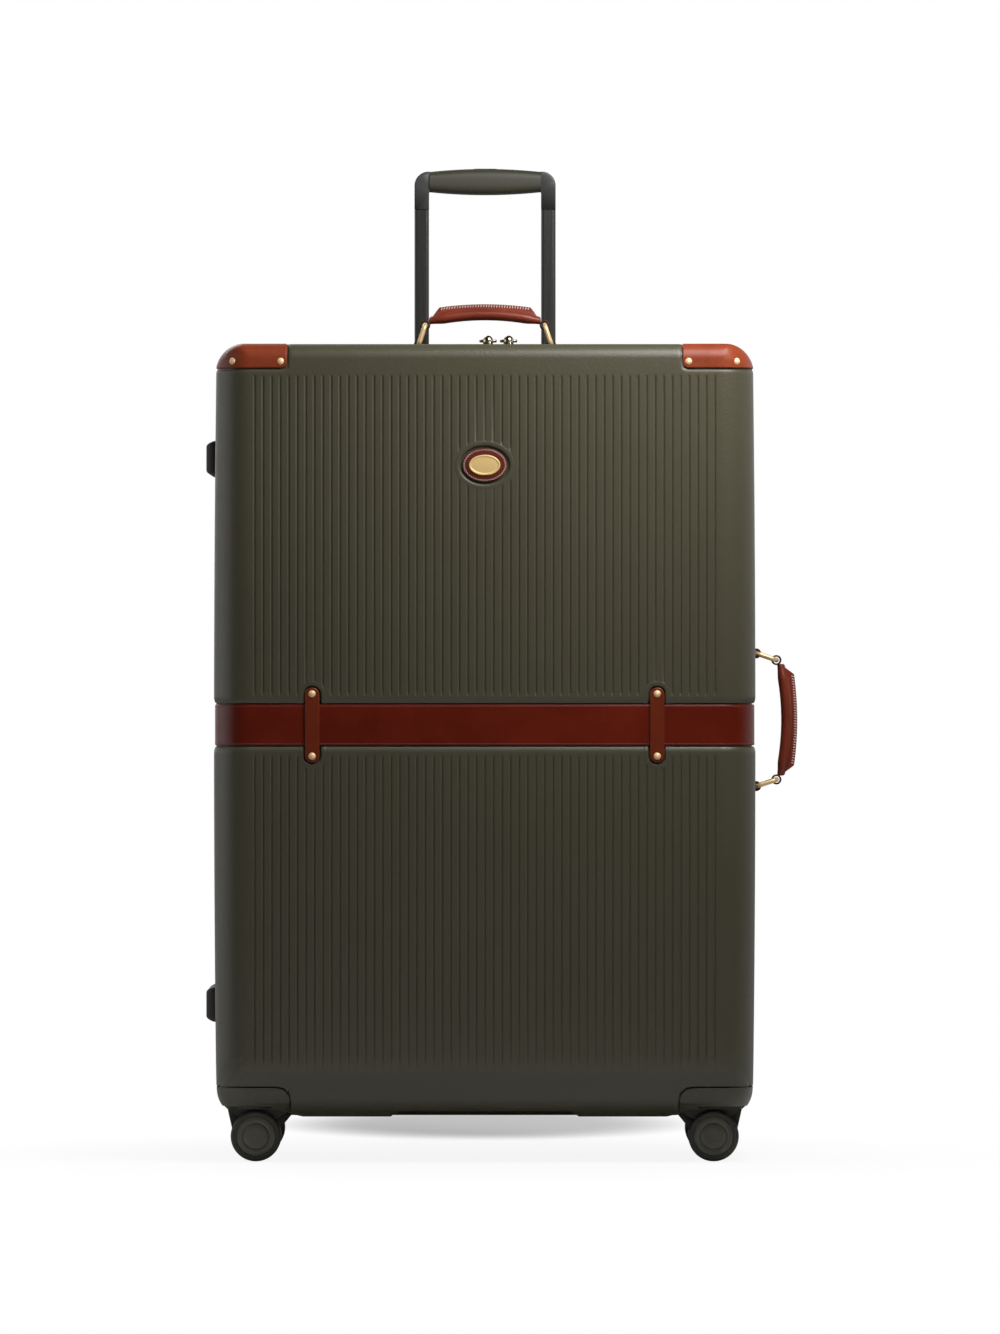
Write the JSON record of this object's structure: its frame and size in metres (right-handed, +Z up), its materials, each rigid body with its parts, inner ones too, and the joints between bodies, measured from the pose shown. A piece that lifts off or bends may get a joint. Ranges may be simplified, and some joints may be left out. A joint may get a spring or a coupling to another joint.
{
  "type": "rolling suitcase",
  "caption": "Upright hard-shell suitcase with leather trim, carry handles, telescopic trolley and twin-wheel swivel casters; it opens like a book along its zip.",
  "frame": {"origin": "on the floor, under the crossing of the zip plane and the case's middle plane", "axes": "+Z up, the zip plane is Y = 0, the front half lies towards -Y and the side carry handle is on +X"},
  "size_m": [0.563, 0.316, 0.9482],
  "materials": {
    "shell": "satin, finely grained",
    "strap_leather": "smooth, dark red-brown",
    "trim_leather": "smooth, red-brown",
    "brass": "polished",
    "zip_cloth": "woven tape",
    "lining_cloth": "plain woven",
    "foot": "satin",
    "housing": "satin",
    "tube": "dark anodised",
    "frame_plastic": "satin",
    "grip_plastic": "satin",
    "fork": "satin",
    "hub": "satin",
    "tyre": "matt",
    "lock_metal": "brushed",
    "dial": "satin",
    "buckle": "satin"
  },
  "bodies": {
    "case": {"rear_shell": "shell", "rear_strap": "strap_leather", "rear_strap_keepers": "strap_leather", "rear_corner_caps": "trim_leather", "rear_rivets": "brass", "rear_zip_tape": "zip_cloth", "rear_lining": "lining_cloth", "rear_side_feet": "foot", "rear_caster_housings": "housing", "packing_straps": "zip_cloth", "packing_buckle": "buckle", "trolley_bezel": "frame_plastic", "trolley_outer_tubes": "tube", "top_handle_brackets": "trim_leather", "side_handle_brackets": "trim_leather", "lock_body": "lock_metal", "hinge_gusset": "zip_cloth"},
    "front_half": {"front_shell": "shell", "front_strap": "strap_leather", "front_strap_keepers": "strap_leather", "front_corner_caps": "trim_leather", "front_rivets": "brass", "front_zip_tape": "zip_cloth", "front_lining": "lining_cloth", "front_side_feet": "foot", "front_caster_housings": "housing", "badge_patch": "trim_leather", "badge_plate": "brass"},
    "trolley_middle": {"trolley_middle_tubes": "tube"},
    "trolley_upper": {"trolley_inner_tubes": "tube", "trolley_grip_frame": "frame_plastic", "trolley_grip": "grip_plastic"},
    "trolley_button": {"trolley_button": "frame_plastic"},
    "top_handle_ring_a": {"top_handle_ring_a": "brass"},
    "top_handle_ring_b": {"top_handle_ring_b": "brass"},
    "top_handle_grip": {"top_handle_grip": "trim_leather"},
    "side_handle_ring_a": {"side_handle_ring_a": "brass"},
    "side_handle_ring_b": {"side_handle_ring_b": "brass"},
    "side_handle_grip": {"side_handle_grip": "trim_leather"},
    "zip_slider_left": {"zip_slider_left": "brass"},
    "zip_puller_left": {"zip_puller_left": "brass"},
    "zip_slider_right": {"zip_slider_right": "brass"},
    "zip_puller_right": {"zip_puller_right": "brass"},
    "lock_dial_1": {"lock_dial_1": "dial"},
    "lock_dial_2": {"lock_dial_2": "dial"},
    "lock_dial_3": {"lock_dial_3": "dial"},
    "lock_release": {"lock_release": "lock_metal"},
    "front_left_caster": {"front_left_caster_fork": "fork"},
    "front_left_wheels": {"front_left_caster_hubs": "hub", "front_left_caster_tyres": "tyre"},
    "front_right_caster": {"front_right_caster_fork": "fork"},
    "front_right_wheels": {"front_right_caster_hubs": "hub", "front_right_caster_tyres": "tyre"},
    "rear_left_caster": {"rear_left_caster_fork": "fork"},
    "rear_left_wheels": {"rear_left_caster_hubs": "hub", "rear_left_caster_tyres": "tyre"},
    "rear_right_caster": {"rear_right_caster_fork": "fork"},
    "rear_right_wheels": {"rear_right_caster_hubs": "hub", "rear_right_caster_tyres": "tyre"}
  },
  "joints": [
    {"name": "case_opening", "type": "hinge", "parent": "case", "child": "front_half", "pos_m": [-0.2655, 0, 0.406], "axis": [0, 0, -1], "range_deg": [0, 180], "deforming": ["hinge_gusset"]},
    {"name": "trolley_lower_slide", "type": "slide", "parent": "case", "child": "trolley_middle", "axis": [0, 0, 1], "range_m": [0, 0.16]},
    {"name": "trolley_upper_slide", "type": "slide", "parent": "trolley_middle", "child": "trolley_upper", "axis": [0, 0, 1], "range_m": [-0.167, 0]},
    {"name": "trolley_button_press", "type": "slide", "parent": "trolley_upper", "child": "trolley_button", "axis": [0, 0, -1], "range_m": [0, 0.003], "stiffness_N_per_m": 400, "springref_m": -0.002},
    {"name": "top_handle_swing", "type": "hinge", "parent": "case", "child": "top_handle_ring_a", "pos_m": [-0.0635, 0.052, 0.775], "axis": [0, 1, 0], "range_deg": [-20, 20]},
    {"name": "top_handle_swing_b", "type": "hinge", "parent": "case", "child": "top_handle_ring_b", "pos_m": [0.0635, 0.052, 0.775], "axis": [0, 1, 0], "range_deg": [-20, 20]},
    {"name": "top_handle_grip_turn", "type": "hinge", "parent": "top_handle_ring_a", "child": "top_handle_grip", "pos_m": [-0.05715, 0.052, 0.79397], "axis": [0, 1, 0], "range_deg": [-22.7, 22.7]},
    {"name": "side_handle_swing", "type": "hinge", "parent": "case", "child": "side_handle_ring_a", "pos_m": [0.26, 0.046, 0.4795], "axis": [0, 1, 0], "range_deg": [-20, 20]},
    {"name": "side_handle_swing_b", "type": "hinge", "parent": "case", "child": "side_handle_ring_b", "pos_m": [0.26, 0.046, 0.3525], "axis": [0, 1, 0], "range_deg": [-20, 20]},
    {"name": "side_handle_grip_turn", "type": "hinge", "parent": "side_handle_ring_a", "child": "side_handle_grip", "pos_m": [0.27897, 0.046, 0.47315], "axis": [0, 1, 0], "range_deg": [-22.7, 22.7]},
    {"name": "zip_slide_left", "type": "slide", "parent": "case", "child": "zip_slider_left", "axis": [-1, 0, 0], "range_m": [0, 0.14]},
    {"name": "zip_puller_swing_left", "type": "hinge", "parent": "zip_slider_left", "child": "zip_puller_left", "pos_m": [0.003, 0, 0.7774], "axis": [1, 0, 0], "range_deg": [0, 180]},
    {"name": "zip_slide_right", "type": "slide", "parent": "case", "child": "zip_slider_right", "axis": [1, 0, 0], "range_m": [0, 0.14]},
    {"name": "zip_puller_swing_right", "type": "hinge", "parent": "zip_slider_right", "child": "zip_puller_right", "pos_m": [0.0225, 0, 0.7774], "axis": [1, 0, 0], "range_deg": [0, 180]},
    {"name": "lock_dial_turn_1", "type": "hinge", "parent": "case", "child": "lock_dial_1", "pos_m": [-0.031, 0.0255, 0.7655], "axis": [1, 0, 0], "continuous": true},
    {"name": "lock_dial_turn_2", "type": "hinge", "parent": "case", "child": "lock_dial_2", "pos_m": [-0.023, 0.0255, 0.7655], "axis": [1, 0, 0], "continuous": true},
    {"name": "lock_dial_turn_3", "type": "hinge", "parent": "case", "child": "lock_dial_3", "pos_m": [-0.015, 0.0255, 0.7655], "axis": [1, 0, 0], "continuous": true},
    {"name": "lock_release_slide", "type": "slide", "parent": "case", "child": "lock_release", "axis": [1, 0, 0], "range_m": [0, 0.003], "stiffness_N_per_m": 300, "springref_m": -0.002},
    {"name": "front_left_swivel", "type": "hinge", "parent": "front_half", "child": "front_left_caster", "pos_m": [-0.207, -0.088, 0.05], "axis": [0, 0, 1], "continuous": true},
    {"name": "front_left_wheel_spin", "type": "hinge", "parent": "front_left_caster", "child": "front_left_wheels", "pos_m": [-0.216, -0.088, 0.0238], "axis": [0, 1, 0], "continuous": true},
    {"name": "front_right_swivel", "type": "hinge", "parent": "front_half", "child": "front_right_caster", "pos_m": [0.207, -0.088, 0.05], "axis": [0, 0, 1], "continuous": true},
    {"name": "front_right_wheel_spin", "type": "hinge", "parent": "front_right_caster", "child": "front_right_wheels", "pos_m": [0.216, -0.088, 0.0238], "axis": [0, 1, 0], "continuous": true},
    {"name": "rear_left_swivel", "type": "hinge", "parent": "case", "child": "rear_left_caster", "pos_m": [-0.207, 0.088, 0.05], "axis": [0, 0, 1], "continuous": true},
    {"name": "rear_left_wheel_spin", "type": "hinge", "parent": "rear_left_caster", "child": "rear_left_wheels", "pos_m": [-0.216, 0.088, 0.0238], "axis": [0, 1, 0], "continuous": true},
    {"name": "rear_right_swivel", "type": "hinge", "parent": "case", "child": "rear_right_caster", "pos_m": [0.207, 0.088, 0.05], "axis": [0, 0, 1], "continuous": true},
    {"name": "rear_right_wheel_spin", "type": "hinge", "parent": "rear_right_caster", "child": "rear_right_wheels", "pos_m": [0.216, 0.088, 0.0238], "axis": [0, 1, 0], "continuous": true}
  ],
  "couplings": [
    {"joint": "top_handle_swing_b", "follows": "top_handle_swing", "ratio": 1},
    {"joint": "top_handle_grip_turn", "follows": "top_handle_swing", "ratio": -1.111},
    {"joint": "side_handle_swing_b", "follows": "side_handle_swing", "ratio": 1},
    {"joint": "side_handle_grip_turn", "follows": "side_handle_swing", "ratio": -1.111}
  ]
}
